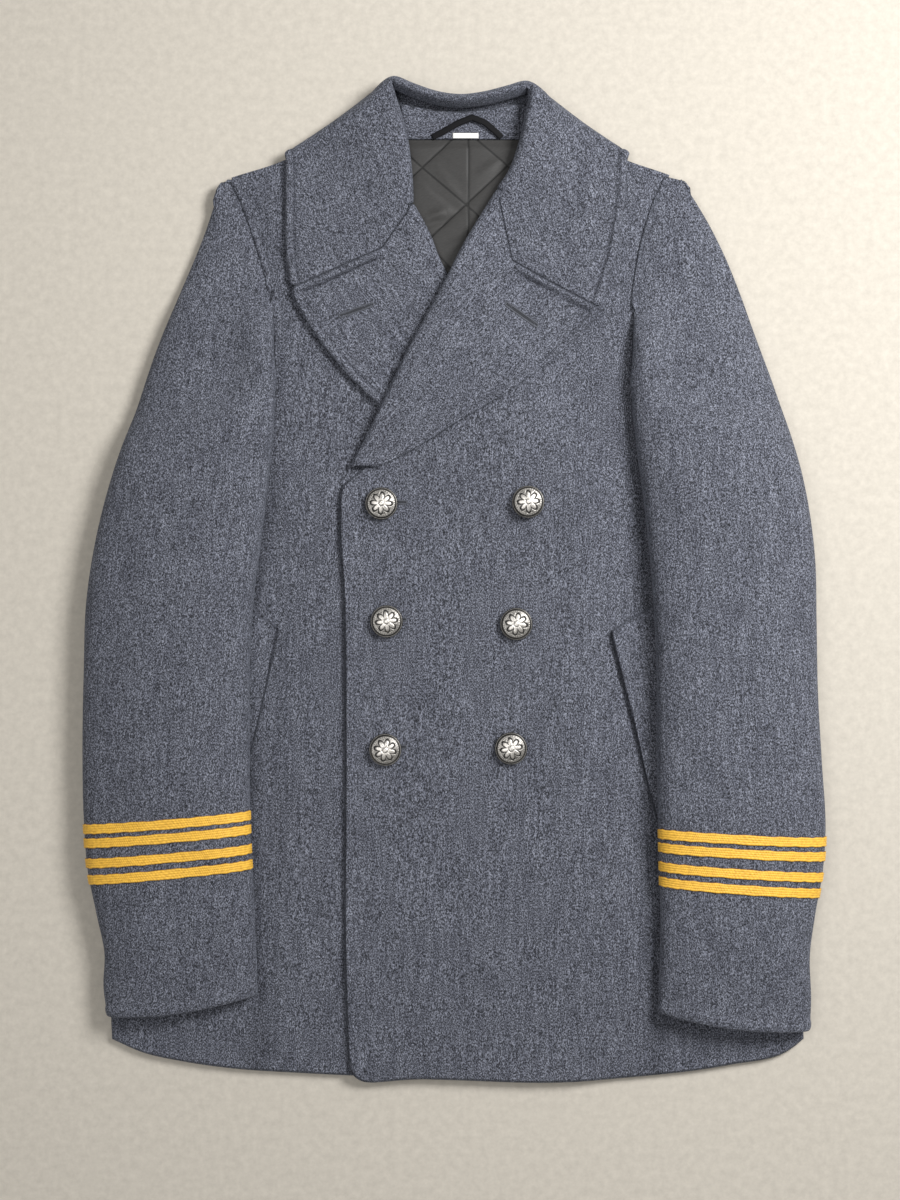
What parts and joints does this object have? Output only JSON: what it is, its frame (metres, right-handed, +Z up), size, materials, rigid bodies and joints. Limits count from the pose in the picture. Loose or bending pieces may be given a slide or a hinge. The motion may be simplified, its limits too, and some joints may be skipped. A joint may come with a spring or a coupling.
{
  "type": "double-breasted coat",
  "caption": "Double-breasted wool coat laid flat on its back, front closed, with a deep folded collar, wide lapels, slanted welt pockets and braided cuffs; a garment to wear over other clothes.",
  "frame": {"origin": "middle of the coat's bounding box in plan, on the surface it lies on", "axes": "+Y from hem to collar, +X towards the wearer's left sleeve, +Z up out of the coat's front"},
  "size_m": [0.576, 0.7794, 0.0404],
  "materials": {
    "wool_melton": "heavy blue-grey wool melton, brushed and matt",
    "gold_braid": "woven gold-coloured braid, ribbed along its length",
    "antique_pewter": "antique pewter, satin with a dark rim",
    "quilted_lining": "dark satin, quilted in lozenges",
    "black_tape": "woven black tape, matt",
    "blank_label": "plain white woven tab, blank"
  },
  "bodies": {
    "root": {"back": "wool_melton", "front_right": "wool_melton", "front_left": "wool_melton", "lapel_right": "wool_melton", "lapel_left": "wool_melton", "collar": "wool_melton", "top_sleeve_right": "wool_melton", "top_sleeve_left": "wool_melton", "under_sleeve_right": "wool_melton", "under_sleeve_left": "wool_melton", "welt_right": "wool_melton", "welt_left": "wool_melton", "back_neck_facing": "wool_melton", "braid_right_1": "gold_braid", "braid_right_2": "gold_braid", "braid_right_3": "gold_braid", "braid_right_4": "gold_braid", "braid_left_1": "gold_braid", "braid_left_2": "gold_braid", "braid_left_3": "gold_braid", "braid_left_4": "gold_braid", "button_1": "antique_pewter", "button_2": "antique_pewter", "button_3": "antique_pewter", "button_4": "antique_pewter", "button_5": "antique_pewter", "button_6": "antique_pewter", "lining": "quilted_lining", "hanger_loop": "black_tape", "label": "blank_label"}
  },
  "joints": []
}
